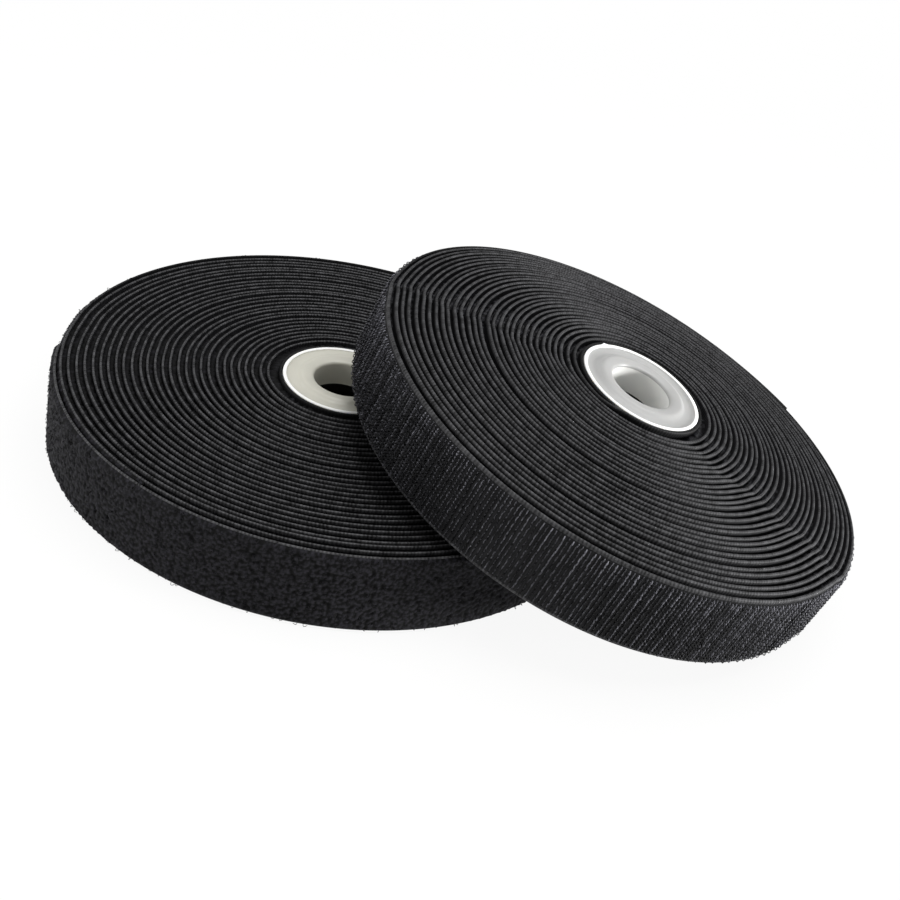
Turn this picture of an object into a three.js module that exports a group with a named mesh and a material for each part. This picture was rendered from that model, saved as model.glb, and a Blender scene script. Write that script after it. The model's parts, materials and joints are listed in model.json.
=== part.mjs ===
// A pair of sew-on hook and loop tape rolls: the loop roll lies flat and the hook
// roll leans on it, with its low edge on the table. Millimetres, +Z up, +X from the
// loop roll towards the hook roll's low edge.
import * as THREE from 'three';

// Driving dimensions of the tape and the rolls
const tape_width = 25;
const loop_roll_radius = 88;
const hook_roll_radius = 80.5;
const loop_turns = 30;
const hook_turns = 31;
const loop_end_angle = THREE.MathUtils.degToRad(196);
const hook_end_angle = THREE.MathUtils.degToRad(45);

// Counts of the formed winding: turns that show as turns, and steps in each
const formed_turns = 23;
const turn_steps = 24;
const tail_steps = 3;

// Driving dimensions of the moulded cores
const core_radius = 19.5;
const core_rim_wall = 1.3;
const core_recess_depth = 1.2;
const core_web = 1.6;
const collar_radius = 14;
const collar_rise = 0.9;
const collar_chamfer = 0.6;
const bore_radius = 9.8;
const bore_wall = 1.6;
const bore_tube_length = 8;
const spigot_wall = 1;
const spigot_reach = 3;
const core_segments = 40;

// How the rolls lie: the lean, how far the hook roll's middle stands out, and how far
// each core stands out of the turns round it
const lean = THREE.MathUtils.degToRad(14.3);
const hook_dish_rise = 7.5;
const hook_core_rise = 1.1;
const loop_core_rise = 1.5;

// Clearances between pieces that touch on the real object
const turn_gap = 0.5;
const piece_gap = 0.3;
const seat_gap = 0.3;

const step_angle = 2 * Math.PI / turn_steps;
const half_width = tape_width / 2;
const tail_angle = tail_steps * step_angle;
const formed_angle = tail_angle + formed_turns * 2 * Math.PI;

const colours = {
  pile: 0x1f1f26,
  hooks: 0x24242c,
  moulded: 0xeeeee8,
};

// Everything that tells one roll from the other, worked out once
function rollSizes(name, radius, turns, end_angle, dish_rise) {
  const first_turn_radius = core_radius + piece_gap;
  const pitch = (radius - first_turn_radius) / turns;
  return { name, radius, turns, end_angle, dish_rise, pitch, thickness: pitch - turn_gap };
}

// Outer radius of the tape at an angle past its free end
function outerRadius(roll, past_end) {
  return roll.radius - roll.pitch * past_end / (2 * Math.PI);
}

// Height that the domed winding has gained at a radius
function dishHeight(roll, radius) {
  const way_out = Math.max(0, radius - core_radius) / (roll.radius - core_radius);
  return roll.dish_rise * (1 - way_out * way_out);
}

function pointAt(roll, past_end, radius, height) {
  const angle = roll.end_angle + past_end;
  const x = radius * Math.cos(angle);
  const y = radius * Math.sin(angle);
  return new THREE.Vector3(x, y, height + dishHeight(roll, radius));
}

// The four corners of the tape's section: inner and outer, low and high
function tapeSection(roll, past_end) {
  const outer = outerRadius(roll, past_end);
  const inner = outer - roll.thickness;
  return [
    pointAt(roll, past_end, inner, 0),
    pointAt(roll, past_end, outer, 0),
    pointAt(roll, past_end, outer, tape_width),
    pointAt(roll, past_end, inner, tape_width),
  ];
}

// The section pulled back along a step, so that neighbours keep their gap
function trimmedSection(roll, past_end, towards, trim) {
  const here = tapeSection(roll, past_end);
  const next = tapeSection(roll, towards);
  const share = trim / here[1].distanceTo(next[1]);
  return here.map((corner, i) => corner.lerp(next[i], share));
}

// A closed strip through a list of four-cornered sections
function stripGeometry(sections) {
  const points = sections.flat();
  const faces = [];
  const corners = 4;
  for (let s = 0; s + 1 < sections.length; s += 1) {
    for (let c = 0; c < corners; c += 1) {
      const a = s * corners + c;
      const b = s * corners + (c + 1) % corners;
      faces.push(a, b + corners, b, a, a + corners, b + corners);
    }
  }
  const last = (sections.length - 1) * corners;
  faces.push(0, 1, 2, 0, 2, 3);
  faces.push(last, last + 2, last + 1, last, last + 3, last + 2);
  const geometry = new THREE.BufferGeometry().setFromPoints(points);
  geometry.setIndex(faces);
  return geometry;
}

// Places of the winding's sections, from the tail to the start of the inner turns
function windingPlaces() {
  const places = [];
  for (let k = tail_steps; k <= tail_steps + formed_turns * turn_steps; k += 1) {
    places.push(k * step_angle);
  }
  return places;
}

// The formed turns: one unbroken strip of tape wound on its flat side
function windingGeometry(roll) {
  const places = windingPlaces();
  const sections = places.map((place) => tapeSection(roll, place));
  const last = places.length - 1;
  sections[0] = trimmedSection(roll, places[0], places[1], piece_gap / 2);
  sections[last] = trimmedSection(roll, places[last], places[last - 1], piece_gap / 2);
  return stripGeometry(sections);
}

// Least gap between the winding's neighbouring turns, measured on its points
function leastTurnGap(roll) {
  const places = windingPlaces();
  let least = Infinity;
  for (let k = 0; k + turn_steps + 1 < places.length; k += 1) {
    const inner_face = tapeSection(roll, places[k])[0];
    const a = tapeSection(roll, places[k + turn_steps])[1];
    const b = tapeSection(roll, places[k + turn_steps + 1])[1];
    const across = new THREE.Vector3(b.y - a.y, a.x - b.x, 0).normalize();
    least = Math.min(least, Math.abs(inner_face.sub(a).dot(across)));
  }
  return least;
}

// One step of the tape's free end, between two hinge lines
function tailGeometry(roll, step) {
  const start = step * step_angle;
  const end = start + step_angle;
  const start_trim = step === 0 ? 0 : piece_gap / 2;
  return stripGeometry([
    trimmedSection(roll, start, end, start_trim),
    trimmedSection(roll, end, start, piece_gap / 2),
  ]);
}

// The turns next to the core, closed up into one solid with the tape's step outside
function innerTurnsGeometry(roll) {
  const outline = new THREE.Shape();
  const first = outerRadius(roll, formed_angle);
  const step_trim = piece_gap / 2 / first;
  for (let k = 0; k <= turn_steps; k += 1) {
    const trim = k === 0 ? step_trim : 0;
    const past_end = formed_angle + k * step_angle + trim;
    const angle = roll.end_angle + past_end - (k === turn_steps ? -step_trim : 0);
    const radius = outerRadius(roll, past_end);
    const x = radius * Math.cos(angle);
    const y = radius * Math.sin(angle);
    if (k === 0) outline.moveTo(x, y);
    else outline.lineTo(x, y);
  }
  outline.closePath();
  const hole = new THREE.Path();
  hole.absarc(0, 0, core_radius + piece_gap, 0, 2 * Math.PI, true);
  outline.holes.push(hole);
  const options = { depth: tape_width, bevelEnabled: false, curveSegments: turn_steps };
  return dished(new THREE.ExtrudeGeometry(outline, options), roll);
}

// Lifts every point by the dish height at its radius
function dished(geometry, roll) {
  const places = geometry.getAttribute('position');
  for (let i = 0; i < places.count; i += 1) {
    const radius = Math.hypot(places.getX(i), places.getY(i));
    places.setZ(i, places.getZ(i) + dishHeight(roll, radius));
  }
  return geometry;
}

// Half of a core from its joint at height 0 up to its rim, as a lathe profile. The
// bore's tube hangs from the collar and ends short of the joint
function coreProfile(has_spigot) {
  const joint = piece_gap / 2;
  const rim_top = half_width;
  const tube_inner = core_radius - core_rim_wall;
  const recess = rim_top - core_recess_depth;
  const web_under = recess - core_web;
  const collar_top = rim_top + collar_rise;
  const bore_outer = bore_radius + bore_wall;
  const bore_end = collar_top - bore_tube_length;
  const spigot_outer = tube_inner - piece_gap;
  const points = [
    [bore_radius, bore_end],
    [bore_outer, bore_end],
    [bore_outer, web_under],
  ];
  if (has_spigot) {
    points.push([spigot_outer - spigot_wall, web_under]);
    points.push([spigot_outer - spigot_wall, -spigot_reach]);
    points.push([spigot_outer, -spigot_reach]);
    points.push([spigot_outer, joint]);
  } else {
    points.push([tube_inner, web_under]);
    points.push([tube_inner, joint]);
  }
  points.push([core_radius, joint]);
  points.push([core_radius, rim_top]);
  points.push([tube_inner, rim_top]);
  points.push([tube_inner, recess]);
  points.push([collar_radius, recess]);
  points.push([collar_radius, collar_top - collar_chamfer]);
  points.push([collar_radius - collar_chamfer, collar_top]);
  points.push([bore_radius + collar_chamfer, collar_top]);
  points.push([bore_radius, collar_top - collar_chamfer]);
  points.push([bore_radius, bore_end]);
  return points.map(([x, y]) => new THREE.Vector2(x, y));
}

// The lathe turns about Y, so it is stood up on Z
function coreHalfGeometry(has_spigot) {
  const geometry = new THREE.LatheGeometry(coreProfile(has_spigot), core_segments);
  geometry.rotateX(Math.PI / 2);
  return geometry;
}

function solid(name, geometry, material) {
  const mesh = new THREE.Mesh(geometry, material);
  mesh.name = name;
  return mesh;
}

// Both halves of a core, plugged together with their joint at half the tape's width
function addCore(group, roll, rise, material) {
  const upper = solid(`${roll.name}_core_upper_half`, coreHalfGeometry(true), material);
  const lower = solid(`${roll.name}_core_lower_half`, coreHalfGeometry(false), material);
  lower.rotation.x = Math.PI;
  for (const half of [upper, lower]) {
    half.position.z = half_width + roll.dish_rise + rise;
    group.add(half);
  }
}

// A whole roll about the Z axis, its lower edge at height 0
function buildRoll(roll, core_rise, tape_material, core_material) {
  const group = new THREE.Group();
  group.add(solid(`${roll.name}_tape_winding`, windingGeometry(roll), tape_material));
  group.add(solid(`${roll.name}_tape_inner_turns`, innerTurnsGeometry(roll), tape_material));
  for (let step = 0; step < tail_steps; step += 1) {
    const name = `${roll.name}_tape_end_${tail_steps - step}`;
    group.add(solid(name, tailGeometry(roll, step), tape_material));
  }
  addCore(group, roll, core_rise, core_material);
  return group;
}

// Height of the hook roll's underside over its lower edge, open at the bore
function undersideHeight(hook, radius) {
  if (radius < bore_radius || radius > hook.radius) return Infinity;
  if (radius < collar_radius) return hook.dish_rise + hook_core_rise - collar_rise;
  return dishHeight(hook, radius);
}

// Clearance under the hook roll at one point of the loop roll's top edge
function clearanceAt(angle, centre_x, loop, hook, low_height) {
  const x = loop.radius * Math.cos(angle) - centre_x;
  const y = loop.radius * Math.sin(angle);
  const z = tape_width - low_height;
  const along = x * Math.cos(lean) - z * Math.sin(lean);
  const above = x * Math.sin(lean) + z * Math.cos(lean);
  return undersideHeight(hook, Math.hypot(along, y)) - above;
}

// Distance between the rolls' axes at which the hook roll just rests on the loop roll
function seatDistance(loop, hook, low_height) {
  const edge_steps = 90;
  const halvings = 40;
  let near = 0;
  let far = loop.radius + hook.radius;
  for (let n = 0; n < halvings; n += 1) {
    const middle = (near + far) / 2;
    let least = Infinity;
    for (let k = -edge_steps; k <= edge_steps; k += 1) {
      const angle = k / edge_steps * Math.PI / 2;
      least = Math.min(least, clearanceAt(angle, middle, loop, hook, low_height));
    }
    if (least > seat_gap) far = middle;
    else near = middle;
  }
  return far;
}

// Radius of the hook roll where its low edge meets the table
function lowEdgeRadius(hook) {
  const past_end = (2 * Math.PI - hook.end_angle) % (2 * Math.PI);
  return outerRadius(hook, past_end);
}

// Hinge lines of the tape's free end, in metres, for the record
function printHinges(group, roll) {
  const half_share = 0.5;
  const metres_per_millimetre = 0.001;
  const decimals = 5;
  for (let step = tail_steps; step > 0; step -= 1) {
    const edge = tapeSection(roll, step * step_angle);
    const middle = edge[1].lerp(edge[2], half_share).applyMatrix4(group.matrixWorld);
    const axis = new THREE.Vector3(0, 0, 1).transformDirection(group.matrixWorld);
    const place = middle.multiplyScalar(metres_per_millimetre).toArray();
    const metres = place.map((v) => v.toFixed(decimals));
    const hinge = tail_steps + 1 - step;
    console.log(roll.name, 'hinge', hinge, metres.join(' '), 'axis', axis.toArray().join(' '));
  }
}

function buildPair() {
  const loop = rollSizes('loop', loop_roll_radius, loop_turns, loop_end_angle, 0);
  const hook = rollSizes('hook', hook_roll_radius, hook_turns, hook_end_angle, hook_dish_rise);
  const pile = new THREE.MeshStandardMaterial({ color: colours.pile, roughness: 1 });
  const hooks = new THREE.MeshStandardMaterial({ color: colours.hooks, roughness: 0.8 });
  const moulded = new THREE.MeshStandardMaterial({ color: colours.moulded, roughness: 0.4 });
  const loop_roll = buildRoll(loop, loop_core_rise, pile, moulded);
  const hook_roll = buildRoll(hook, hook_core_rise, hooks, moulded);
  const low_height = lowEdgeRadius(hook) * Math.sin(lean);
  hook_roll.rotation.y = lean;
  hook_roll.position.set(seatDistance(loop, hook, low_height), 0, low_height);
  const pair = new THREE.Group();
  pair.add(loop_roll, hook_roll);
  centreOnOrigin(pair);
  for (const [group, roll] of [[loop_roll, loop], [hook_roll, hook]]) {
    console.log(roll.name, 'least gap between turns', leastTurnGap(roll).toFixed(3), 'mm');
    const axis_foot = group.position.clone().add(pair.position);
    console.log(roll.name, 'axis foot mm', axis_foot.toArray().join(' '));
    printHinges(group, roll);
  }
  return pair;
}

// The middle of the pair's footprint goes to the origin
function centreOnOrigin(pair) {
  const box = new THREE.Box3().setFromObject(pair, true);
  const middle = box.getCenter(new THREE.Vector3());
  pair.position.set(-middle.x, -middle.y, -box.min.z);
  pair.updateMatrixWorld(true);
}

export default buildPair();
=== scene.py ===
import json
import math
import random

import bpy
import numpy as np
from mathutils import Matrix, Vector


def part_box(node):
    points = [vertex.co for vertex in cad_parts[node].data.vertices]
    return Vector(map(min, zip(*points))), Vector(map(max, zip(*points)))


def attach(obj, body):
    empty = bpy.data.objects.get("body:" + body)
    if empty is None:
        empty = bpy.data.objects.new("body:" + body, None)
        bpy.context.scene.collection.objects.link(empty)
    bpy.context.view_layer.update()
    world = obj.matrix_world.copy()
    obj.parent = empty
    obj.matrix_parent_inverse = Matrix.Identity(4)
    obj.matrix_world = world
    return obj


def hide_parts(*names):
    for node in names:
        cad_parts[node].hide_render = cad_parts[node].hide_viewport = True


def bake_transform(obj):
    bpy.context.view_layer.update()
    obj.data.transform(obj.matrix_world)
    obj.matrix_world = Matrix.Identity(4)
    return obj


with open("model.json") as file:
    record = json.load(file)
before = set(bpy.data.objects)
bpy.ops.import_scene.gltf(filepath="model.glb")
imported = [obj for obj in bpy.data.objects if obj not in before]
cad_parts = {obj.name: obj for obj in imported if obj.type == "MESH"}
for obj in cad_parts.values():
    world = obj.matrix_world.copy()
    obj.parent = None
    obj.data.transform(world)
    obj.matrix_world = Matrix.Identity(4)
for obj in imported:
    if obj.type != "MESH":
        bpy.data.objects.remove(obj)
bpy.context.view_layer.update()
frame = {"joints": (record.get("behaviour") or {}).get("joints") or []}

# Camera
# It stands close over the rolls and looks down at them by about a third of a right angle.
# It is turned a little about its own view, so the table runs downhill to the right.
MM = 0.001
CAMERA_PLACE_MM = (20.4, -362.5, 238.1)
CAMERA_AZIMUTH = math.radians(3.41)
CAMERA_DOWN = math.radians(31.87)
CAMERA_TURN = math.radians(-14.12)
CAMERA_SENSOR = 36
CAMERA_LENS = 54.4
CAMERA_NEAREST = 0.01

camera_data = bpy.data.cameras.new("camera")
camera_data.sensor_width = CAMERA_SENSOR
camera_data.lens = CAMERA_LENS
camera_data.clip_start = CAMERA_NEAREST
camera = bpy.data.objects.new("camera", camera_data)
bpy.context.scene.collection.objects.link(camera)
aim = Matrix.Rotation(CAMERA_AZIMUTH, 4, "Z")
tilt = Matrix.Rotation(math.pi / 2 - CAMERA_DOWN, 4, "X")
roll_about_view = Matrix.Rotation(-CAMERA_TURN, 4, "Z")
camera.matrix_world = Matrix.Translation(Vector(CAMERA_PLACE_MM) * MM) @ aim @ tilt @ roll_about_view
bpy.context.scene.camera = camera
bpy.context.scene.view_settings.view_transform = "Standard"

# Table and studio light
# A white paper sweep under a wide box overhead, which lights the tape's upper edges. A
# strip at the right rims the hook roll, and a weak box fills from the left. The camera sees
# the paper and the room as white, apart from the rolls' faint shadow.
FLOOR_HALF = 3.0
FLOOR_WHITE = "#f6f6f4"
PURE_WHITE = "#ffffff"
# For the camera the paper glows: near the rolls by this share, which leaves their faint
# shadow, and wholly from further out. The rise is between two distances in metres.
PAPER_GLOW = 0.92
PAPER_GLOW_RISES = (0.2, 0.6)
ROOM_GREY = 0.24
# Each lamp's place and width are in metres, and its strength is in watts.
LAMPS = (("overhead_box", (0.15, 0.1, 1.0), 0.9, 11.0),
         ("right_strip_box", (1.1, 0.0, 0.1), 0.2, 15.0),
         ("left_fill_box", (-0.95, -0.35, 0.4), 0.5, 4.5))


def linear(hex_colour):
    """An sRGB hex colour as the linear red, green, blue and alpha that a shader takes."""
    values = [int(hex_colour[i:i + 2], 16) / 255 for i in (1, 3, 5)]
    return [v / 12.92 if v <= 0.04045 else ((v + 0.055) / 1.055) ** 2.4 for v in values] + [1]


def node(tree, kind, links=None, **settings):
    """Adds a node with its settings, its socket values and the links into it."""
    made = tree.nodes.new(kind)
    for name, value in settings.items():
        setattr(made, name, value)
    for name, value in (links or {}).items():
        if isinstance(value, bpy.types.NodeSocket):
            tree.links.new(value, made.inputs[name])
        else:
            made.inputs[name].default_value = value
    return made


def new_tree(name):
    """A new material and its empty node tree."""
    material = bpy.data.materials.new(name)
    material.use_nodes = True
    material.node_tree.nodes.clear()
    return material, material.node_tree


floor_paper, tree = new_tree("white_paper_sweep")
ray = node(tree, "ShaderNodeLightPath")
seen = node(tree, "ShaderNodeMath", {0: ray.outputs["Is Camera Ray"], 1: ray.outputs["Is Glossy Ray"]},
            operation="MAXIMUM")
place = node(tree, "ShaderNodeTexCoord")
away = node(tree, "ShaderNodeVectorMath", {0: place.outputs["Object"]}, operation="LENGTH")
own_light = node(tree, "ShaderNodeMapRange", {
    "Value": away.outputs["Value"], "From Min": PAPER_GLOW_RISES[0], "From Max": PAPER_GLOW_RISES[1],
    "To Min": PAPER_GLOW, "To Max": 1.0})
share = node(tree, "ShaderNodeMath", {0: seen.outputs[0], 1: own_light.outputs[0]}, operation="MULTIPLY")
paper = node(tree, "ShaderNodeBsdfDiffuse", {"Color": linear(FLOOR_WHITE)})
glow = node(tree, "ShaderNodeEmission", {"Color": linear(PURE_WHITE), "Strength": 1.0})
both = node(tree, "ShaderNodeMixShader", {0: share.outputs[0], 1: paper.outputs[0], 2: glow.outputs[0]})
node(tree, "ShaderNodeOutputMaterial", {"Surface": both.outputs[0]})

room = bpy.data.worlds.new("white_room")
bpy.context.scene.world = room
room.use_nodes = True
tree = room.node_tree
tree.nodes.clear()
ray = node(tree, "ShaderNodeLightPath")
seen = node(tree, "ShaderNodeMath", {0: ray.outputs["Is Camera Ray"], 1: ray.outputs["Is Transmission Ray"]},
            operation="MAXIMUM")
strength = node(tree, "ShaderNodeMapRange", {"Value": seen.outputs[0], "To Min": ROOM_GREY, "To Max": 1.0})
sky = node(tree, "ShaderNodeBackground", {"Color": linear(PURE_WHITE), "Strength": strength.outputs[0]})
node(tree, "ShaderNodeOutputWorld", {"Surface": sky.outputs[0]})

floor_mesh = bpy.data.meshes.new("table_sweep")
corners = [(-1, -1), (1, -1), (1, 1), (-1, 1)]
floor_mesh.from_pydata([(x * FLOOR_HALF, y * FLOOR_HALF, 0) for x, y in corners], [], [(0, 1, 2, 3)])
floor = bpy.data.objects.new("table_sweep", floor_mesh)
bpy.context.scene.collection.objects.link(floor)
floor_mesh.materials.append(floor_paper)

for lamp_name, place, size, watts in LAMPS:
    lamp_data = bpy.data.lights.new(lamp_name, "AREA")
    lamp_data.shape = "SQUARE"
    lamp_data.size = size
    lamp_data.energy = watts
    lamp = bpy.data.objects.new(lamp_name, lamp_data)
    bpy.context.scene.collection.objects.link(lamp)
    lamp.location = place
    lamp.rotation_euler = (-Vector(place)).to_track_quat("-Z", "Y").to_euler()


# Winding of both rolls
# Each tape is wound flat on its core and, seen from above, runs inwards anticlockwise from
# its free end. The leaning hook roll's middle has slipped up along its axis, so its upper
# face is a low dome. Every turn has a kink on one line, as if a packing strap had left it.
TURN = 2 * math.pi
joints = {joint["name"]: joint for joint in frame["joints"]}
# The hinge lines of a free end are this far apart. Like every angle along the winding, it
# is counted from the free end inwards, and such an angle is called a run.
STEP_ANGLE = math.radians(15)
CORE_CLEARANCE = 0.3 * MM
TAPE_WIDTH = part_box("loop_tape_end_3")[1].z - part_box("loop_tape_end_3")[0].z
LOOP_BACKING = 0.75 * MM
HOOK_BACKING = 0.9 * MM
# Beside the core the tape steps down onto its first turn over one run, and its inner end
# reaches under that step by another.
STEP_DOWN = 0.35
TUCKED_UNDER_STEP = 0.17
# No turn is wound quite even: it wanders in three waves, each so many millimetres high
# and so many to a turn. It is held over a run from the free end and a longer one from the
# core, on which it lies quite round.
WAVES_OUT = ((0.11, 0.83), (0.08, 1.37), (0.05, 2.71))
WAVES_UP = ((0.11, 0.57), (0.08, 1.13), (0.04, 3.3))
HELD_FROM_END = 3
HELD_FROM_CORE = 12
# Between them the turns sit this far up, so that no wave takes one through the table.
LIFTED_MM = 0.23
# How far round the pressed free end reaches, and how steeply the turns that sit up with
# the core fall away from it
PRESSED_RUN = 0.8
CORE_LIFT_FALL = 6
# The strap's line over the roll wanders in a wave too. The kink there is a jog, which is
# a small step, and a corner.
STRAP_WAVE = (1.2, 2.1)
JOG_LENGTH_MM = 1.6
CORNER_LENGTH_MM = 7
# The winding comes loose over this run.
LOOSENING_RUN = 0.5


class Roll:
    """One roll's place, size and winding, in its own axes with Z along the core. kink is
    its jog, its corner, the slope of the strap's line and how far that line passes the
    middle. At its loose_turn the winding stands open by gap, which closes towards the core,
    and press is how far the free end is pressed in. These are millimetres, but for the
    slope and the turn."""

    def __init__(self, name, turns, thickness, place, axis, dome, core_lift, kink, loose_turn, gap, press,
                 seed):
        self.name = name
        self.thickness = thickness
        self.press = press
        self.place = Vector(place)
        side = Vector((0, 1, 0))
        self.axis = Vector(axis).normalized()
        self.turned = Matrix((side.cross(self.axis), side, self.axis)).transposed()
        self.dome = dome
        self.core_lift = core_lift
        self.kink = kink
        self.loose_run = TURN * loose_turn
        self.gap = gap
        low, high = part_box(f"{name}_core_lower_half")
        self.core_radius = (high.y - low.y) / 2
        last_hinge = Vector(joints[f"{name}_tape_peel_3"]["pos_m"])
        last_hinge = self.turned.transposed() @ (last_hinge - self.place)
        hinge_radius = math.hypot(last_hinge.x, last_hinge.y)
        step_share = STEP_ANGLE / TURN
        self.end_angle = math.atan2(last_hinge.y, last_hinge.x) - STEP_ANGLE
        self.pitch = (hinge_radius - self.core_radius - CORE_CLEARANCE) / (turns - step_share)
        self.radius = hinge_radius + self.pitch * step_share
        first_turn = self.core_radius + CORE_CLEARANCE + thickness
        self.step_run = TURN * ((self.radius - first_turn) / self.pitch - 1)
        self.last_run = self.step_run + TURN + TUCKED_UNDER_STEP
        self.random = random.Random(seed)
        self.phases = [self.random.uniform(0, TURN) for _ in WAVES_OUT + WAVES_UP]

    def length_at(self, run):
        """Length of tape from the free end to a run past it."""
        return self.radius * run - self.pitch * run ** 2 / (2 * TURN)

    def run_at(self, length):
        """The run past the free end after a length of tape."""
        a = self.pitch / (2 * TURN)
        return (self.radius - np.sqrt(self.radius ** 2 - 4 * a * length)) / (2 * a)

    def runs(self, start, end, step):
        """Runs from start to end, a step of tape apart."""
        count = max(2, int((self.length_at(end) - self.length_at(start)) / step) + 1)
        return self.run_at(np.linspace(self.length_at(start), self.length_at(end), count))

    def pressed_in(self, run):
        """How far the free end lies pressed into the roll. The stiff hook tape's springs
        out of it instead, so its press is below 0."""
        return self.press * MM * np.clip(1 - run / PRESSED_RUN, 0, 1) ** 2

    def slack(self, run):
        """How free a turn is to wander: 0 at the free end and beside the core, and 1 between."""
        from_core = np.clip((self.step_run - run) / HELD_FROM_CORE, 0, 1)
        return np.clip(run / HELD_FROM_END, 0, 1) * from_core

    def wander(self, run, waves, phases):
        """How far, in millimetres, the waves take a turn out or up."""
        return sum(height * np.sin(count * run + phase) for (height, count), phase in zip(waves, phases))

    def outer_face(self, run):
        """Radius of the backing's outer face. The last turn lies round on the core."""
        angle = self.end_angle + run
        face = self.radius - self.pitch * np.minimum(run, self.step_run) / TURN
        face = face - self.pitch * np.clip((run - self.step_run) / STEP_DOWN, 0, 1)
        jog, corner, slope, offset = self.kink
        past_strap = face * (np.sin(angle) + slope * np.cos(angle)) / MM + offset
        past_strap = past_strap + STRAP_WAVE[0] * np.sin(STRAP_WAVE[1] * run + self.phases[0])
        out = self.wander(run, WAVES_OUT, self.phases[:len(WAVES_OUT)])
        out = out + jog * np.tanh(past_strap / JOG_LENGTH_MM)
        out = out + corner * np.exp(-np.abs(past_strap) / CORNER_LENGTH_MM)
        inside = np.clip((self.last_run - run) / (self.last_run - self.loose_run), 0, 1)
        out = out - self.gap * inside * (0.5 + 0.5 * np.tanh((run - self.loose_run) / LOOSENING_RUN))
        return face + out * self.slack(run) * MM - self.pressed_in(run)

    def room(self, run):
        """How deep the space is between the backing's outer face and the next turn out."""
        next_turn_in = self.outer_face(run - TURN) - self.thickness
        return np.where(run < TURN, self.pitch, next_turn_in - self.outer_face(run))

    def points(self, run, outward, across):
        """World points on the tape: outward is from the backing's outer face, and across is
        from its lower edge. The turns beside the core sit up with it."""
        run, outward, across = np.broadcast_arrays(run, outward, across)
        angle = self.end_angle + run
        radius = self.outer_face(run) + outward
        way_out = np.clip((radius - self.core_radius) / (self.radius - self.core_radius), 0, 1)
        height = across + self.dome * (1 - way_out ** 2) + self.core_lift * (1 - way_out) ** CORE_LIFT_FALL
        up = self.wander(run, WAVES_UP, self.phases[len(WAVES_OUT):])
        height = height + (LIFTED_MM + up) * self.slack(run) * MM
        local = np.stack([radius * np.cos(angle), radius * np.sin(angle), height], -1)
        return local @ np.array(self.turned).T + np.array(self.place)


HOOK_DOME = 7.5 * MM
HOOK_CORE_RISE = 1.1 * MM
LOOP_CORE_RISE = 1.5 * MM
core_low, core_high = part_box("loop_core_lower_half")
core_middle = (core_low + core_high) / 2
loop_roll = Roll("loop", turns=30, thickness=LOOP_BACKING, place=(core_middle.x, core_middle.y, 0),
                 axis=(0, 0, 1), dome=0.0, core_lift=LOOP_CORE_RISE, kink=(0.15, 0.0, 0.1, 14.0),
                 loose_turn=20.0, gap=0.3, press=1.1, seed=5)
hook_roll = Roll("hook", turns=31, thickness=HOOK_BACKING, place=joints["hook_roll_lift"]["pos_m"],
                 axis=joints["hook_tape_peel_1"]["axis"], dome=HOOK_DOME, core_lift=HOOK_CORE_RISE,
                 kink=(0.35, 0.5, 0.186, 16.7), loose_turn=15.0, gap=0.5, press=-1.0, seed=11)


# Woven nylon backing
# Both tapes have the same backing: black nylon woven tight, one long flat strip with a
# heat-set selvage on each edge. Handling rubs the selvage pale, and painted highlight adds
# to it, so those edges are the light lines of the spiral.
BACKING_BLACK = "#0b0b0d"
BACKING_WORN = "#242427"
SELVAGE_DARK = "#0b0b0c"
# The selvage's pale is partly wear and partly painted highlight. It is painted paler on the loop roll than
# on the hook roll, to even out the light on each.
SELVAGE_WEAR_AND_HIGHLIGHT = {"loop": "#535355", "hook": "#49494b"}
SELVAGE_WIDTH = 0.6 * MM
# The real weft is 0.5 mm apart and is drawn coarser so that it shows.
WEFT = 1.1 * MM
WEFT_DEPTH = 0.12 * MM
# A wave texture of this scale repeats very nearly once to a unit.
WAVE_UNIT = 1 / math.pi
# 33 worn patches to a decimetre
WORN_PATCH = 100 * MM / 33
WEFT_IN_WEAR = 0.16
WEAR_SETS_IN = 0.35
# Light is lost between the yarns, so cloth shines less than the plastic it is made of.
CLOTH_SHINE = 0.2


def woven_nylon(name, ground, paler_colour, paler_from):
    """Nylon yarn, IOR 1.53: rough and matt, with a fine rib across it, and paler in worn
    patches, on the selvage with painted highlight too. The paleness attribute holds painted
    shade that keeps it dark."""
    material, tree = new_tree(name)
    lengths = node(tree, "ShaderNodeUVMap", uv_map="tape_lengths")
    wefts = node(tree, "ShaderNodeVectorMath", {0: lengths.outputs[0], "Scale": 1 / WEFT}, operation="SCALE")
    weft = node(tree, "ShaderNodeTexWave", {
        "Vector": wefts.outputs[0], "Scale": WAVE_UNIT, "Distortion": 5.0, "Detail": 2.0,
        "Detail Scale": 0.6}, wave_type="BANDS", bands_direction="X")
    wear = node(tree, "ShaderNodeTexNoise", {
        "Vector": lengths.outputs[0], "Scale": 1 / WORN_PATCH, "Detail": 5.0, "Roughness": 0.75})
    paler_by = node(tree, "ShaderNodeMath", {0: weft.outputs[1], 1: WEFT_IN_WEAR, 2: wear.outputs[0]},
                operation="MULTIPLY_ADD")
    spread = node(tree, "ShaderNodeMapRange", {
        "Value": paler_by.outputs[0], "From Min": paler_from, "From Max": paler_from + WEAR_SETS_IN})
    unshaded_share = node(tree, "ShaderNodeAttribute", attribute_name="paleness")
    share = node(tree, "ShaderNodeMath", {0: spread.outputs[0], 1: unshaded_share.outputs["Fac"]},
                 operation="MULTIPLY")
    colour = node(tree, "ShaderNodeMix", {
        "Factor": share.outputs[0], "A": linear(ground), "B": linear(paler_colour)}, data_type="RGBA")
    bump = node(tree, "ShaderNodeBump", {"Height": weft.outputs[1], "Distance": WEFT_DEPTH, "Strength": 0.5})
    cloth = node(tree, "ShaderNodeBsdfPrincipled", {
        "Base Color": colour.outputs["Result"], "Roughness": 0.6, "IOR": 1.53,
        "Specular IOR Level": CLOTH_SHINE, "Normal": bump.outputs[0]})
    node(tree, "ShaderNodeOutputMaterial", {"Surface": cloth.outputs[0]})
    return material


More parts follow.
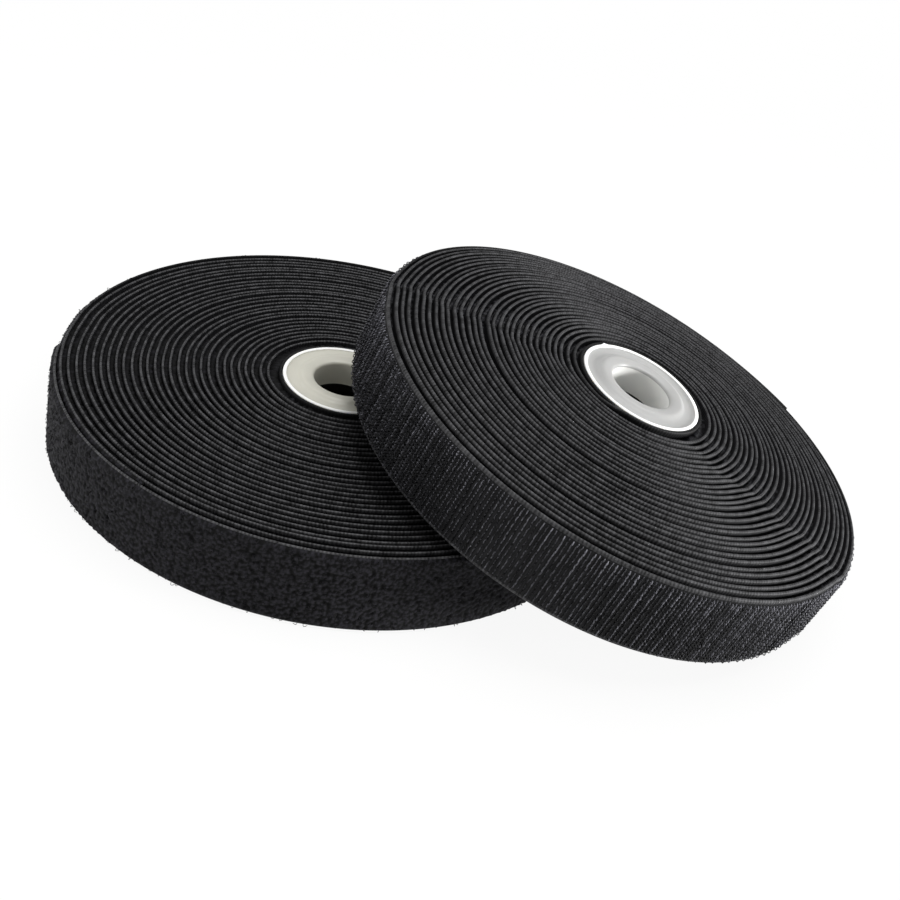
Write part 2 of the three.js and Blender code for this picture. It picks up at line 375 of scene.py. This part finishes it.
backing_nylon = woven_nylon("woven_nylon_backing", BACKING_BLACK, BACKING_WORN, 0.5)
selvage_nylon = {name: woven_nylon(f"heat_set_nylon_{name}_selvage", SELVAGE_DARK, SELVAGE_WEAR_AND_HIGHLIGHT[name], 0.4)
                 for name in ("loop", "hook")}


def piece_from(name, parts, body, node_names, materials):
    """One object from (points, faces, lengths, slots) parts. lengths has each point's
    metres along and across the tape, kept as a UV layer, and its paleness, which carries
    painted light and shade and some random tone, kept as an attribute. Sides are shaded
    smooth and ends flat."""
    points, faces, lengths, slots = [], [], [], []
    start = 0
    for part_points, part_faces, part_lengths, part_slots in parts:
        points.append(part_points)
        lengths.append(part_lengths)
        faces += [[i + start for i in face] for face in part_faces]
        slots += part_slots if isinstance(part_slots, list) else [part_slots] * len(part_faces)
        start += len(part_points)
    mesh = bpy.data.meshes.new(name)
    mesh.from_pydata(np.concatenate(points).tolist(), [], faces)
    for material in materials:
        mesh.materials.append(material)
    mesh.polygons.foreach_set("material_index", np.array(slots, np.int32))
    mesh.polygons.foreach_set("use_smooth", [len(face) == 4 for face in faces])
    corner_points = np.empty(len(mesh.loops), np.int32)
    mesh.loops.foreach_get("vertex_index", corner_points)
    lengths = np.concatenate(lengths).astype(np.float32)
    mesh.uv_layers.new(name="tape_lengths").data.foreach_set("uv", lengths[corner_points, :2].ravel())
    mesh.attributes.new("paleness", "FLOAT", "POINT").data.foreach_set("value", lengths[:, 2].copy())
    mesh.update()
    piece = bpy.data.objects.new(name, mesh)
    bpy.context.scene.collection.objects.link(piece)
    if body:
        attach(piece, body)
    if node_names:
        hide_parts(*node_names)
    return piece


# Round the edge of the tape its pattern runs on by this share of the way outward.
PATTERN_ROUND_EDGE = 0.3


def strip(roll, runs, outward, across, slots, paleness):
    """A closed strip along the tape. outward and across are its cut's corners in order,
    for all runs alike or a row for each; slots has one for each side of the cut."""
    runs = np.asarray(runs)[:, None]
    points = roll.points(runs, outward, across)
    steps, corners = points.shape[:2]
    index = np.arange(steps * corners).reshape(steps, corners)
    following = np.roll(index, -1, axis=1)
    faces = np.stack([index[:-1], following[:-1], following[1:], index[1:]], -1).reshape(-1, 4).tolist()
    faces += [index[0][::-1].tolist(), index[-1].tolist()]
    outward, across = (np.broadcast_to(side, (steps, corners)) for side in (outward, across))
    round_cut = across + PATTERN_ROUND_EDGE * outward
    lengths = np.stack(np.broadcast_arrays(roll.length_at(runs), round_cut, paleness), -1).reshape(-1, 3)
    return points.reshape(-1, 3), faces, lengths, list(slots) * (steps - 1) + [slots[0], slots[0]]


BACKING_STEP = 2.6 * MM
EDGE_WIDTH = 0.35 * MM
EDGE_CUT = 0.09 * MM
EDGE_BULGE = 0.32
# How far round the outer turn counts as outer and fades, and how much of a turn beside
# the core is painted in shade
OUTER_RUN = 1.1 * TURN
OUTER_FADE = 0.6
PAINTED_SHADE_BY_CORE = 0.7 * TURN
# Painted shade darkens the outer turn's far side with this steepness, and the outward faces inside the
# winding by this share.
FAR_SIDE_FADE = 3
OUTWARD_FACE_SHADE = 0.5


def backing(roll, start, end):
    """The backing, rounded at its edges. Slot 0 is its two faces and slot 1 its selvages.
    Wear and painted highlight make its edges pale. Painted shade keeps the tape dark on the
    turn beside the core and on the outer turn's far side, and half as pale on its outward
    faces inside the winding."""
    runs = roll.runs(start, end, BACKING_STEP)
    is_outer = np.clip((OUTER_RUN - runs) / OUTER_FADE, 0, 1)
    unshaded = np.clip((roll.last_run - PAINTED_SHADE_BY_CORE - runs) / TURN, 0, 1)
    unshaded = unshaded * (1 - is_outer * np.clip(FAR_SIDE_FADE * np.sin(roll.end_angle + runs), 0, 1))
    faces_out = np.array([0, 0, 0, 0, 1, 1, 1, 1, 0, 0, 0, 0])
    paleness = unshaded[:, None] * (1 - OUTWARD_FACE_SHADE * faces_out * (1 - is_outer[:, None]))
    middle = -roll.thickness / 2
    bulge = EDGE_BULGE * roll.thickness
    low_out = [-roll.thickness, middle - bulge, middle, middle + bulge, 0, 0]
    low_up = [EDGE_WIDTH, EDGE_CUT, 0, EDGE_CUT, EDGE_WIDTH, EDGE_WIDTH + SELVAGE_WIDTH]
    outward = np.array(low_out + low_out[::-1])
    across = np.array(low_up + [TAPE_WIDTH - y for y in reversed(low_up)])
    return strip(roll, runs, outward, across, [1, 1, 1, 1, 1, 0, 1, 1, 1, 1, 1, 0], paleness)


# Each length of a free end bends over this run on both sides of its hinge line.
HINGE_REACH = math.radians(5)
WINDING_START = 3 * STEP_ANGLE + HINGE_REACH
# The outer face's pile and hooks carry on under the free end, where a peel uncovers them.
UNDER_THE_END = TURN + WINDING_START
# The tufts repeat only after this many, and each is between these shares of its cell.
TUFT_TABLE = 61
TUFT_SEED = 3
SMALLEST_TUFT = 0.75
LARGEST_TUFT = 1.25
NO_TUFT = 9.0


def tufts(length, across, spacing):
    """Height from 0 to 1 of a tufted surface at places on the tape: a dome for each tuft,
    somewhere in its own cell and of its own size."""
    table = np.random.default_rng(TUFT_SEED).random((TUFT_TABLE, TUFT_TABLE, 3))
    u, v = np.broadcast_arrays(length / spacing, across / spacing)
    nearest = np.full(u.shape, NO_TUFT)
    for du in (-1, 0, 1):
        for dv in (-1, 0, 1):
            cell_u = np.floor(u).astype(int) + du
            cell_v = np.floor(v).astype(int) + dv
            drawn = table[cell_u % TUFT_TABLE, cell_v % TUFT_TABLE]
            away = np.hypot(u - cell_u - drawn[..., 0], v - cell_v - drawn[..., 1])
            size = SMALLEST_TUFT + (LARGEST_TUFT - SMALLEST_TUFT) * drawn[..., 2]
            nearest = np.minimum(nearest, away / size)
    return np.clip(1 - nearest ** 2, 0, 1)


FIELD_STEP = 0.9 * MM
FIELD_TUFT = 1.3 * MM
FIELD_TOUCH = 0.1 * MM
# Painted shade: a packed field is paler where its edge stands higher and darker deeper down.
FIELD_PALENESS = 0.25
# The four edges of a packed field follow four lines of the tufted surface, well apart.
FIELD_LINES = np.array([[0.0, 5 * MM, 10 * MM, 15 * MM]])


def packed_field(roll, edge_low, edge_rise):
    """Pile or hooks pressed between two turns, with no light through. Its two edges stand
    at uneven depths, and painted shade darkens them the deeper they lie."""
    runs = roll.runs(UNDER_THE_END, roll.last_run, FIELD_STEP)
    out_of = tufts(roll.length_at(runs)[:, None], FIELD_LINES, FIELD_TUFT)
    root = np.full(len(runs), -FIELD_TOUCH)
    tip = roll.room(runs) + FIELD_TOUCH
    outward = np.stack([root, tip, tip, root], -1)
    depth = edge_low - edge_rise * out_of
    across = np.concatenate([depth[:, :2], TAPE_WIDTH - depth[:, 2:]], 1)
    return strip(roll, runs, outward, across, [2] * 4, FIELD_PALENESS * out_of)


STRAND_SIDES = 3
# Added to a roll's axis, this gives a direction that no strand lies along.
ASKEW = np.array([0.31, 0.17, 0.05])
TINY = 1e-12


def strands(roll, paths, thickness, paleness):
    """Fine three-sided threads along paths of (run, outward, across) points."""
    paths = np.asarray(paths)
    centre = roll.points(paths[..., 0], paths[..., 1], paths[..., 2])
    along = np.gradient(centre, axis=1)
    along /= np.linalg.norm(along, axis=2, keepdims=True) + TINY
    side = np.cross(along, np.array(roll.axis) + ASKEW)
    side /= np.linalg.norm(side, axis=2, keepdims=True) + TINY
    other = np.cross(along, side)
    angles = [TURN * k / STRAND_SIDES for k in range(STRAND_SIDES)]
    points = np.stack([centre + thickness / 2 * (math.cos(angle) * side + math.sin(angle) * other)
                       for angle in angles], 2)
    index = np.arange(points[..., 0].size).reshape(points.shape[:3])
    following = np.roll(index, -1, axis=2)
    faces = np.stack([index[:, :-1], following[:, :-1], following[:, 1:], index[:, 1:]], -1)
    faces = faces.reshape(-1, 4).tolist() + index[:, 0, ::-1].tolist() + index[:, -1].tolist()
    places = np.stack(np.broadcast_arrays(roll.length_at(paths[..., 0]), paths[..., 2], paleness), -1)
    return points.reshape(-1, 3), faces, np.repeat(places[:, :, None], STRAND_SIDES, 2).reshape(-1, 3), 2


def peel_lengths(roll, parts_between, materials):
    """The free end in three lengths, each holding one hinge line."""
    ends = [WINDING_START, 2.5 * STEP_ANGLE, 1.5 * STEP_ANGLE, 0.0]
    for k in (1, 2, 3):
        piece = piece_from(f"{roll.name}_tape_peel_length_{k}", parts_between(ends[k], ends[k - 1]), None,
                           [f"{roll.name}_tape_end_{k}"], materials)
        bend = (4 - k) * STEP_ANGLE
        before, after = roll.points(np.array([bend + HINGE_REACH, bend - HINGE_REACH]), 0.0, TAPE_WIDTH / 2)
        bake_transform(piece)


# Loop tape
# The soft half. A pile of fine nylon loops is woven into the backing over nearly its
# full width and brushed into a tangle of small tufts. Wound up, it is packed deep
# between the turns, whose bare edges stand out of it.
# The pile is mixed from near black to pale by random tone and by painted light: painted shade deep between
# the turns and painted highlight on the tufts' tips.
PILE_DARK = "#020203"
PILE_PALE = "#27262c"
PILE_MOTTLING = 3.0
PILE_HEIGHT = 1.0 * MM
PILE_MARGIN = 0.3 * MM
PILE_GRID = 0.42 * MM
PILE_ROOT = 0.05 * MM
PILE_CLEARANCE = 0.1 * MM
PACKED_PILE_DEPTH = 3.4 * MM
PACKED_PILE_RISE = 2.2 * MM
TUFT = 1.1 * MM
TUFT_FOOT = 0.2
TUFT_TIP_PALE = 5
# A real fibre is finer than 0.05 mm and is drawn thicker so that it shows.
FIBRE = 0.17 * MM
LOOPS_PER_MM2 = 0.28
LOOP_SPAN_MM = (0.5, 1.7)
LOOP_HEIGHT_MM = (0.5, 1.0)
LOOP_LEAN_MM = (-0.6, 0.6)
LOOP_INSET = 0.4 * MM
LOOP_ROOT = 0.3 * PILE_HEIGHT
LOOP_STEPS = 5
# In real thread both of these are finer, and they are drawn coarser so that they show.
THREAD_MOTTLE = 1.0 * MM
THREAD_FUZZ = 2 / 3 * MM
THREAD_FUZZ_DEPTH = 0.2 * MM
PALE_FROM = 0.2
PALE_TO = 1.05


def nylon_threads(name, dark, pale, mottling, roughness):
    """Nylon thread, IOR 1.53: mottled, with painted shade near black where it is packed and
    painted highlight where it stands out.
    """
    material, tree = new_tree(name)
    lengths = node(tree, "ShaderNodeUVMap", uv_map="tape_lengths")
    mottle = node(tree, "ShaderNodeTexNoise", {
        "Vector": lengths.outputs[0], "Scale": 1 / THREAD_MOTTLE, "Detail": 4.0, "Roughness": 0.75})
    painted_light_and_tone = node(tree, "ShaderNodeAttribute", attribute_name="paleness")
    tone = node(tree, "ShaderNodeMath", {0: mottle.outputs[0], 1: mottling, 2: painted_light_and_tone.outputs["Fac"]},
                operation="MULTIPLY_ADD")
    spread = node(tree, "ShaderNodeMapRange", {
        "Value": tone.outputs[0], "From Min": mottling / 2 + PALE_FROM, "From Max": mottling / 2 + PALE_TO})
    colour = node(tree, "ShaderNodeMix", {
        "Factor": spread.outputs[0], "A": linear(dark), "B": linear(pale)}, data_type="RGBA")
    fuzz = node(tree, "ShaderNodeTexNoise", {
        "Vector": lengths.outputs[0], "Scale": 1 / THREAD_FUZZ, "Detail": 2.0})
    bump = node(tree, "ShaderNodeBump", {
        "Height": fuzz.outputs[0], "Distance": THREAD_FUZZ_DEPTH, "Strength": 0.8})
    threads = node(tree, "ShaderNodeBsdfPrincipled", {
        "Base Color": colour.outputs["Result"], "Roughness": roughness, "IOR": 1.53,
        "Specular IOR Level": CLOTH_SHINE, "Normal": bump.outputs[0]})
    node(tree, "ShaderNodeOutputMaterial", {"Surface": threads.outputs[0]})
    return material


brushed_nylon = nylon_threads("brushed_nylon_pile", PILE_DARK, PILE_PALE, PILE_MOTTLING, 0.8)


def pile_face(start, end):
    """The outer pile: a fine grid raised into tufts, which sinks at both edges. The tufts'
    tips carry a painted highlight.
    """
    runs = loop_roll.runs(start, end, PILE_GRID)
    rows = int((TAPE_WIDTH - 2 * PILE_MARGIN) / PILE_GRID)
    across = np.linspace(PILE_MARGIN, TAPE_WIDTH - PILE_MARGIN, rows)
    lengths = loop_roll.length_at(runs)[:, None]
    height = tufts(lengths, across[None], TUFT)
    fall = np.clip(np.minimum(np.arange(rows), np.arange(rows)[::-1]) / 2, 0, 1)
    outward = PILE_HEIGHT * (TUFT_FOOT + (1 - TUFT_FOOT) * height) * fall[None] - PILE_ROOT
    outward = np.minimum(outward, loop_roll.room(runs)[:, None] - PILE_CLEARANCE)
    points = loop_roll.points(runs[:, None], outward, across[None])
    index = np.arange(len(runs) * rows).reshape(len(runs), rows)
    faces = np.stack([index[:-1, :-1], index[:-1, 1:], index[1:, 1:], index[1:, :-1]], -1)
    places = np.stack(np.broadcast_arrays(lengths, across[None], height ** TUFT_TIP_PALE), -1)
    return points.reshape(-1, 3), faces.reshape(-1, 4).tolist(), places.reshape(-1, 3), 2


def brushed_loops(start, end):
    """Single loops that the brushing has drawn out of the pile, leaning every way."""
    draw = loop_roll.random.uniform
    area = (end - start) * loop_roll.radius * (TAPE_WIDTH - 2 * PILE_MARGIN) / MM ** 2
    paths = []
    paleness = []
    for _ in range(int(area * LOOPS_PER_MM2)):
        paleness.append([draw(0.0, 1.0)])
        run = draw(start, end)
        across = draw(PILE_MARGIN + LOOP_INSET, TAPE_WIDTH - PILE_MARGIN - LOOP_INSET)
        span = draw(*LOOP_SPAN_MM) * MM
        way = draw(0, TURN)
        height = draw(*LOOP_HEIGHT_MM) * MM
        lean = draw(*LOOP_LEAN_MM) * MM
        path = []
        for k in range(LOOP_STEPS + 1):
            arch = math.sin(math.pi * k / LOOP_STEPS)
            ahead = span * (k / LOOP_STEPS - 0.5)
            along = ahead * math.cos(way) + lean * arch * math.sin(way)
            over = ahead * math.sin(way) - lean * arch * math.cos(way)
            path.append((run + along / loop_roll.radius, LOOP_ROOT + height * arch, across + over))
        paths.append(path)
    return strands(loop_roll, paths, FIBRE, np.array(paleness))


LOOP_MATERIALS = [backing_nylon, selvage_nylon["loop"], brushed_nylon]
piece_from("loop_tape_backing_wound", [backing(loop_roll, WINDING_START, loop_roll.last_run)], "loop_roll",
           ["loop_tape_winding", "loop_tape_inner_turns"], LOOP_MATERIALS)
piece_from("loop_tape_pile_between_turns", [packed_field(loop_roll, PACKED_PILE_DEPTH, PACKED_PILE_RISE)],
           "loop_roll", [], LOOP_MATERIALS)
piece_from("loop_tape_pile_face",
           [pile_face(WINDING_START, UNDER_THE_END), brushed_loops(WINDING_START, TURN)],
           "loop_roll", [], LOOP_MATERIALS)
peel_lengths(loop_roll, lambda a, b: [backing(loop_roll, a, b), pile_face(a, b), brushed_loops(a, b)],
             LOOP_MATERIALS)


# Hook tape
# The stiff half. Thicker nylon threads are woven in as loops and cut on one side, which
# leaves rows of small hooks across the tape between two smooth selvages. Two rows in
# every five stand taller, which shows as pairs of stripes.
HOOK_BLACK = "#09090b"
HOOK_PALE = "#82828a"
HOOK_MOTTLING = 1.3
HOOK_HEIGHT = 1.05 * MM
HOOK_MARGIN = 1.1 * MM
HOOK_ROW = 1.26 * MM
HOOK_REACH = 1.15 * MM
HOOK_COLUMNS = 20
# A hook's points, as shares of its reach over the tape and of its height
HOOK_SHAPE = ((0.0, 0.0), (0.05, 0.6), (0.25, 0.92), (0.6, 1.0), (0.9, 0.8), (1.0, 0.5))
HOOK_ROOT = 0.05 * MM
# A real hook's thread is 0.2 mm thick and is drawn thicker so that it shows.
HOOK_THREAD = 0.38 * MM
PACKED_HOOKS_DEPTH = 3.8 * MM
PACKED_HOOKS_RISE = 1.6 * MM
ROW_GROUP = 5
TALL_ROWS = (0, 2)
SHORT_ROW_HEIGHT = (0.55, 0.7)
# The taller rows are painted paler than the short ones, a painted highlight where they stand out.
TALL_ROW_PALENESS = (0.5, 0.8)
SHORT_ROW_PALENESS = (0.3, 0.6)
# How much each hook differs from its row: shares of paleness and of height, then how far
# aside it stands in columns, and how far along the tape it stands and leans
HOOK_PALENESS = (0.6, 1.3)
HOOK_HEIGHTS = (0.88, 1.0)
HOOK_ASIDE = 0.1
HOOK_SHIFT = 0.08 * MM
HOOK_SKEW = 0.12 * MM
# The hooks are paler towards the upper edge.
HOOK_TONE_BASE = 0.7
HOOK_TONE_AT_UPPER_EDGE = 0.6

hook_nylon = nylon_threads("nylon_hook_monofilament", HOOK_BLACK, HOOK_PALE, HOOK_MOTTLING, 0.45)


def hooks(start, end):
    """Each hook stands up, bends over towards one edge and ends short. No two are alike."""
    draw = hook_roll.random.uniform
    first = round(hook_roll.length_at(start) / HOOK_ROW)
    last = round(hook_roll.length_at(end) / HOOK_ROW)
    column_step = (TAPE_WIDTH - 2 * HOOK_MARGIN - HOOK_REACH) / (HOOK_COLUMNS - 1)
    paths = []
    paleness = []
    for row in range(first, last):
        run = hook_roll.run_at((row + 0.5) * HOOK_ROW)
        is_tall = row % ROW_GROUP in TALL_ROWS
        row_height = 1.0 if is_tall else draw(*SHORT_ROW_HEIGHT)
        row_pale = draw(*TALL_ROW_PALENESS) if is_tall else draw(*SHORT_ROW_PALENESS)
        for column in range(HOOK_COLUMNS):
            paler_by = HOOK_TONE_BASE + HOOK_TONE_AT_UPPER_EDGE * (column / HOOK_COLUMNS) ** 3
            paleness.append([paler_by * row_pale * draw(*HOOK_PALENESS)])
            across = HOOK_MARGIN + (column + draw(-HOOK_ASIDE, HOOK_ASIDE)) * column_step
            shift = draw(-HOOK_SHIFT, HOOK_SHIFT) / hook_roll.radius
            height = HOOK_HEIGHT * row_height * draw(*HOOK_HEIGHTS)
            skew = draw(-HOOK_SKEW, HOOK_SKEW) / hook_roll.radius
            paths.append([(run + shift + skew * over, height * up - HOOK_ROOT, across + over * HOOK_REACH)
                          for over, up in HOOK_SHAPE])
    return strands(hook_roll, paths, HOOK_THREAD, np.array(paleness))


HOOK_MATERIALS = [backing_nylon, selvage_nylon["hook"], hook_nylon]
piece_from("hook_tape_backing_wound", [backing(hook_roll, WINDING_START, hook_roll.last_run)], "hook_roll",
           ["hook_tape_winding", "hook_tape_inner_turns"], HOOK_MATERIALS)
piece_from("hook_rows_between_turns", [packed_field(hook_roll, PACKED_HOOKS_DEPTH, PACKED_HOOKS_RISE)],
           "hook_roll", [], HOOK_MATERIALS)
piece_from("hook_rows_outer_face", [hooks(WINDING_START, UNDER_THE_END)], "hook_roll", [],
           HOOK_MATERIALS)
peel_lengths(hook_roll, lambda a, b: [backing(hook_roll, a, b), hooks(a, b)], HOOK_MATERIALS)


# Cores
# Natural white polypropylene, injection moulded as two halves that plug together inside
# the tape. Each face has a thin rim, a shallow recess and a broad low collar that falls
# to the bore. The tubes end before they meet, and the hollow between them is painted
# near black as shade.
# The same plastic is painted darker on the hook core than on the loop core, to offset the stronger light on
# the hook core's face.
CORE_WHITE = {"loop": "#c9c7bc", "hook": "#a9a9a8"}
CORE_SHADE = {"loop": "#bdbcb1", "hook": "#9f9f9e"}
# Painted highlight: the rim is drawn whiter than the face.
RIM_WHITE = "#fbfbf8"
# Painted light: the hook's bore wall is a paler copy of the same plastic, to brighten its shaded wall.
BORE_GREY = "#e6e6e3"
# Painted shade: the hollow inside the core is near black.
HOLLOW_DARK = "#14120f"
HOLLOW_PALE = "#22201c"
# Clouds in the plastic, and the fine grain that a worn mould leaves on it, 22 to 10 mm
PLASTIC_CLOUD = 6.25 * MM
MOULD_GRAIN = 10 * MM / 22
MOULD_GRAIN_DEPTH = 0.03 * MM
LIGHT_REACH = 1.5 * MM
CORE_SEGMENTS = 144
RIM_WALL = 1.05 * MM
RIM_ROUNDING = 0.4 * MM
RIM_DRAFT = 0.2 * MM
RIM_FOOT = 0.6 * MM
RECESS = 0.6 * MM
WEB = 1.6 * MM
COLLAR_RADIUS = 14.0 * MM
COLLAR_RISE = 0.4 * MM
COLLAR_FOOT = 0.8 * MM
COLLAR_SLOPE = 0.4 * MM
COLLAR_TOP = 1.8 * MM
BORE_RADIUS = 9.8 * MM
BORE_WALL = 1.6 * MM
# The hook roll's tubes reach further in, so less of the hollow shows.
BORE_TUBE = {"loop": 8.4 * MM, "hook": 9.6 * MM}
SPIGOT_WALL = 1.0 * MM
SPIGOT_REACH = 3.0 * MM
CORE_JOINT = 0.12 * MM
HALF_WIDTH = TAPE_WIDTH / 2
SHARP = 0.25 * MM
SOFT = 0.9 * MM
ROUNDING_STEPS = 3
MOST_OF_HALF_A_SIDE = 0.45
# The mould left a small nib of flash on the hook core's upper rim.
FLASH_ANGLE = math.radians(137)
FLASH_WIDTH = math.radians(2.2)
FLASH_STANDS = 0.45 * MM
FLASH_DEPTH = 0.6 * MM
HAIR = 0.01 * MM


def moulded_polypropylene(name, shade, white, roughness):
    """Polypropylene, IOR 1.49, satin from the mould, with a little light inside it."""
    material, tree = new_tree(name)
    place = node(tree, "ShaderNodeTexCoord")
    clouds = node(tree, "ShaderNodeTexNoise", {
        "Vector": place.outputs["Object"], "Scale": 1 / PLASTIC_CLOUD, "Detail": 3.0})
    colour = node(tree, "ShaderNodeMix", {
        "Factor": clouds.outputs[0], "A": linear(shade), "B": linear(white)}, data_type="RGBA")
    grain = node(tree, "ShaderNodeTexNoise", {
        "Vector": place.outputs["Object"], "Scale": 1 / MOULD_GRAIN, "Detail": 2.0})
    bump = node(tree, "ShaderNodeBump", {
        "Height": grain.outputs[0], "Distance": MOULD_GRAIN_DEPTH, "Strength": 0.4})
    plastic = node(tree, "ShaderNodeBsdfPrincipled", {
        "Base Color": colour.outputs["Result"], "Roughness": roughness, "IOR": 1.49,
        "Subsurface Weight": 0.3, "Subsurface Radius": [1.0, 0.95, 0.85],
        "Subsurface Scale": LIGHT_REACH, "Normal": bump.outputs[0]})
    node(tree, "ShaderNodeOutputMaterial", {"Surface": plastic.outputs[0]})
    return material


web_plastic = {name: moulded_polypropylene(f"moulded_polypropylene_{name}_core", CORE_SHADE[name],
                                           CORE_WHITE[name], 0.4) for name in ("loop", "hook")}
bore_plastic = {"loop": web_plastic["loop"],
                "hook": moulded_polypropylene("moulded_polypropylene_hook_bore", BORE_GREY, BORE_GREY, 0.5)}
rim_plastic = moulded_polypropylene("scuffed_polypropylene_rim", RIM_WHITE, RIM_WHITE, 0.5)
hollow_plastic = moulded_polypropylene("dusty_polypropylene_hollow", HOLLOW_DARK, HOLLOW_PALE, 0.8)
WEB_SLOT, RIM_SLOT, HOLLOW_SLOT, BORE_SLOT = range(4)


def rounded(profile):
    """A closed profile of (radius, height, rounding) corners, each cut on a small arc."""
    points = []
    count = len(profile)
    for i in range(count):
        before, here, after = (Vector(profile[(i + k) % count][:2]) for k in (-1, 0, 1))
        rounding = profile[i][2]
        to_start = min(rounding, (before - here).length * MOST_OF_HALF_A_SIDE)
        to_end = min(rounding, (after - here).length * MOST_OF_HALF_A_SIDE)
        start = here + (before - here).normalized() * to_start
        end = here + (after - here).normalized() * to_end
        for k in range(ROUNDING_STEPS + 1):
            t = k / ROUNDING_STEPS
            points.append(start.lerp(here, t).lerp(here.lerp(end, t), t))
    return points


def core_half(roll, core_foot, is_upper):
    """One moulding, its cut turned about the roll's axis. Heights are from the joint, and
    the lower half is the cut upside down. The plastic's patterns need no tape lengths, so
    the points stand in for them."""
    rim_inner = roll.core_radius - RIM_WALL
    recess = HALF_WIDTH - RECESS
    web_under = recess - WEB
    collar_top = HALF_WIDTH + COLLAR_RISE
    bore_end = collar_top - BORE_TUBE[roll.name]
    bore_outer = BORE_RADIUS + BORE_WALL
    profile = [(BORE_RADIUS, bore_end, SHARP), (bore_outer, bore_end, SHARP), (bore_outer, web_under, SHARP)]
    if is_upper:
        spigot = rim_inner - CORE_CLEARANCE
        profile += [(spigot - SPIGOT_WALL, web_under, SHARP), (spigot - SPIGOT_WALL, -SPIGOT_REACH, SHARP),
                    (spigot, -SPIGOT_REACH, SHARP), (spigot, CORE_JOINT, SHARP)]
    else:
        profile += [(rim_inner, web_under, SHARP), (rim_inner, CORE_JOINT, SHARP)]
    rim_corner = len(profile) + 1
    profile += [(roll.core_radius, CORE_JOINT, SHARP), (roll.core_radius, HALF_WIDTH, RIM_ROUNDING),
                (rim_inner, HALF_WIDTH, RIM_ROUNDING), (rim_inner - RIM_DRAFT, recess, RIM_FOOT),
                (COLLAR_RADIUS + COLLAR_FOOT, recess, COLLAR_FOOT),
                (COLLAR_RADIUS - COLLAR_SLOPE, collar_top, SOFT),
                (COLLAR_RADIUS - COLLAR_TOP, collar_top, SOFT), (BORE_RADIUS, HALF_WIDTH, SOFT)]
    cut = rounded(profile)
    angles = np.linspace(0, TURN, CORE_SEGMENTS, endpoint=False)[:, None]
    radius = np.array([p[0] for p in cut])[None]
    height = np.array([p[1] for p in cut])[None]
    if is_upper and roll.name == "hook":
        on_rim = (radius > rim_inner - HAIR) & (height > HALF_WIDTH - FLASH_DEPTH)
        nib = FLASH_STANDS * on_rim * np.exp(-((angles - FLASH_ANGLE) / FLASH_WIDTH) ** 2)
        radius, height = radius + nib, height + nib / 2
    height = height * (1 if is_upper else -1)
    local = np.stack(np.broadcast_arrays(radius * np.cos(angles), radius * np.sin(angles),
                                         core_foot + HALF_WIDTH + height), -1)
    points = local @ np.array(roll.turned).T + np.array(roll.place)
    here = np.arange(points.shape[0] * points.shape[1]).reshape(points.shape[:2])
    along_cut = np.roll(here, -1, axis=1)
    both_on = np.roll(along_cut, -1, axis=0)
    next_cut = np.roll(here, -1, axis=0)
    order = [here, next_cut, both_on, along_cut] if is_upper else [here, along_cut, both_on, next_cut]
    faces = np.stack(order, -1).reshape(-1, 4).tolist()
    # The hollow's sides come first in the cut and the bore's wall last, with the rim between.
    per_corner = ROUNDING_STEPS + 1
    rim_start = rim_corner * per_corner
    slots = [WEB_SLOT] * len(cut)
    for k in range(rim_start - per_corner - 1):
        slots[k] = HOLLOW_SLOT
    for k in range(rim_start, rim_start + 2 * per_corner - 1):
        slots[k] = RIM_SLOT
    slots[-1] = BORE_SLOT
    name = f"{roll.name}_core_{'upper' if is_upper else 'lower'}_half"
    points = points.reshape(-1, 3)
    piece_from(f"{name}_moulding", [(points, faces, points, slots * CORE_SEGMENTS)],
               f"{roll.name}_roll", [name],
               [web_plastic[roll.name], rim_plastic, hollow_plastic, bore_plastic[roll.name]])


for is_upper in (True, False):
    core_half(loop_roll, LOOP_CORE_RISE, is_upper)
    core_half(hook_roll, HOOK_DOME + HOOK_CORE_RISE, is_upper)
